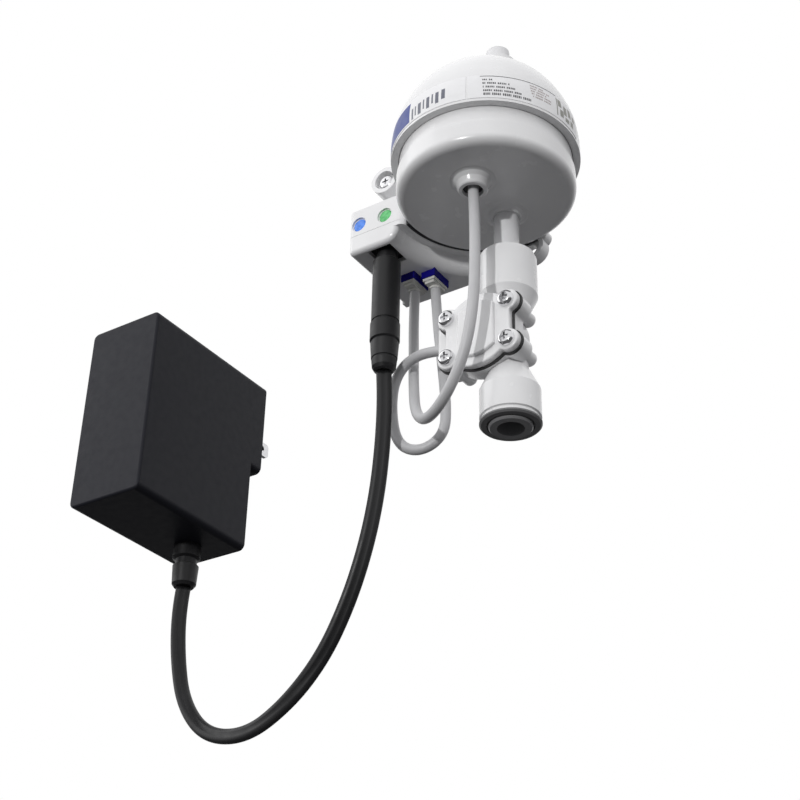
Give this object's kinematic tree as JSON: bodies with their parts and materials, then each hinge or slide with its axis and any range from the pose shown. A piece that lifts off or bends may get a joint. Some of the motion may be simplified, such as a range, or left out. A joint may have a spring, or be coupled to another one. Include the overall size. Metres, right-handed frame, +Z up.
{
  "type": "inline water disinfection unit",
  "caption": "Wall-hung pearl-shaped UV-LED water disinfection unit with controller cradle, turbine flow sensor, push-fit outlet and plug-in power supply.",
  "frame": {"origin": "on the wall face of the cradle's back plate, directly behind the reactor's upright axis", "axes": "+Z up along the water line, -Y out of the wall into the room, +X to the right seen from the front"},
  "size_m": [0.2028, 0.0912, 0.2712],
  "materials": {
    "white_gloss": "glossy moulded",
    "label_film": "satin printed film",
    "white_liner": "matt fluoropolymer",
    "quartz": "polished",
    "seal_rubber": "matt",
    "steel": "brushed",
    "plated_steel": "bright plated",
    "board_green": "solder mask",
    "board_white": "white solder mask",
    "emitter": "ceramic package",
    "copper": "machined copper",
    "stem_white": "smooth tube",
    "black_parts": "moulded",
    "lamp_clear": "clear epoxy",
    "lens_blue": "lit lens",
    "lens_green": "lit lens",
    "socket_blue": "moulded",
    "plug_white": "moulded",
    "rotor_plastic": "moulded",
    "collet_grey": "moulded",
    "cap_dark": "moulded",
    "supply_black": "fine spark texture",
    "cord_black": "satin",
    "lead_grey": "satin jacket"
  },
  "bodies": {
    "unit": {"dome_shell": "white_gloss", "front_label": "label_film", "side_label": "label_film", "lower_bowl": "white_gloss", "lead_grommet": "seal_rubber", "chamber_base": "white_liner", "reaction_chamber": "white_liner", "chamber_o_ring": "seal_rubber", "quartz_window": "quartz", "window_o_ring": "seal_rubber", "window_clamp_ring": "steel", "window_screws": "plated_steel", "led_board": "board_white", "uv_leds": "emitter", "heat_spreader": "copper", "upper_stem": "stem_white", "lower_stem": "stem_white", "upper_stem_o_ring": "seal_rubber", "lower_stem_o_ring": "seal_rubber", "cradle_housing": "white_gloss", "underside_cover": "white_gloss", "cradle_pad": "seal_rubber", "control_board": "board_green", "board_parts": "black_parts", "status_leds": "lamp_clear", "blue_lens": "lens_blue", "green_lens": "lens_green", "dc_jack": "black_parts", "reactor_socket": "socket_blue", "sensor_socket": "socket_blue", "reactor_lead_plug": "plug_white", "sensor_lead_plug": "plug_white", "wall_screw": "plated_steel", "dc_plug": "cord_black", "dc_plug_barrel": "steel", "flow_body": "white_gloss", "flow_gasket": "seal_rubber", "flow_cover": "white_gloss", "flow_cover_screws": "plated_steel", "rotor_axle": "steel", "hall_board": "board_green", "sensor_grommet": "seal_rubber", "upper_grip_ring": "steel", "lower_grip_ring": "steel", "upper_tube_o_ring": "seal_rubber", "lower_tube_o_ring": "seal_rubber", "lower_fitting_cap": "cap_dark", "supply_case": "supply_black", "supply_cover": "supply_black", "mains_blades": "plated_steel", "supply_board": "board_green", "supply_components": "black_parts", "strain_relief": "cord_black", "reactor_lead": "lead_grey", "sensor_lead": "lead_grey", "power_cord": "cord_black"},
    "rotor": {"flow_rotor": "rotor_plastic", "rotor_magnets": "steel"},
    "inlet_collet": {"upper_collet": "white_gloss"},
    "outlet_collet": {"lower_collet": "collet_grey"}
  },
  "joints": [
    {"name": "rotor_spin", "type": "hinge", "parent": "unit", "child": "rotor", "pos_m": [-0.0044, -0.0296, -0.0616], "axis": [0, -1, 0], "continuous": true},
    {"name": "inlet_collet_press", "type": "slide", "parent": "unit", "child": "inlet_collet", "axis": [0, 0, -1], "range_m": [0, 0.0012], "stiffness_N_per_m": 200},
    {"name": "outlet_collet_press", "type": "slide", "parent": "unit", "child": "outlet_collet", "axis": [0, 0, 1], "range_m": [0, 0.0015], "stiffness_N_per_m": 200}
  ]
}
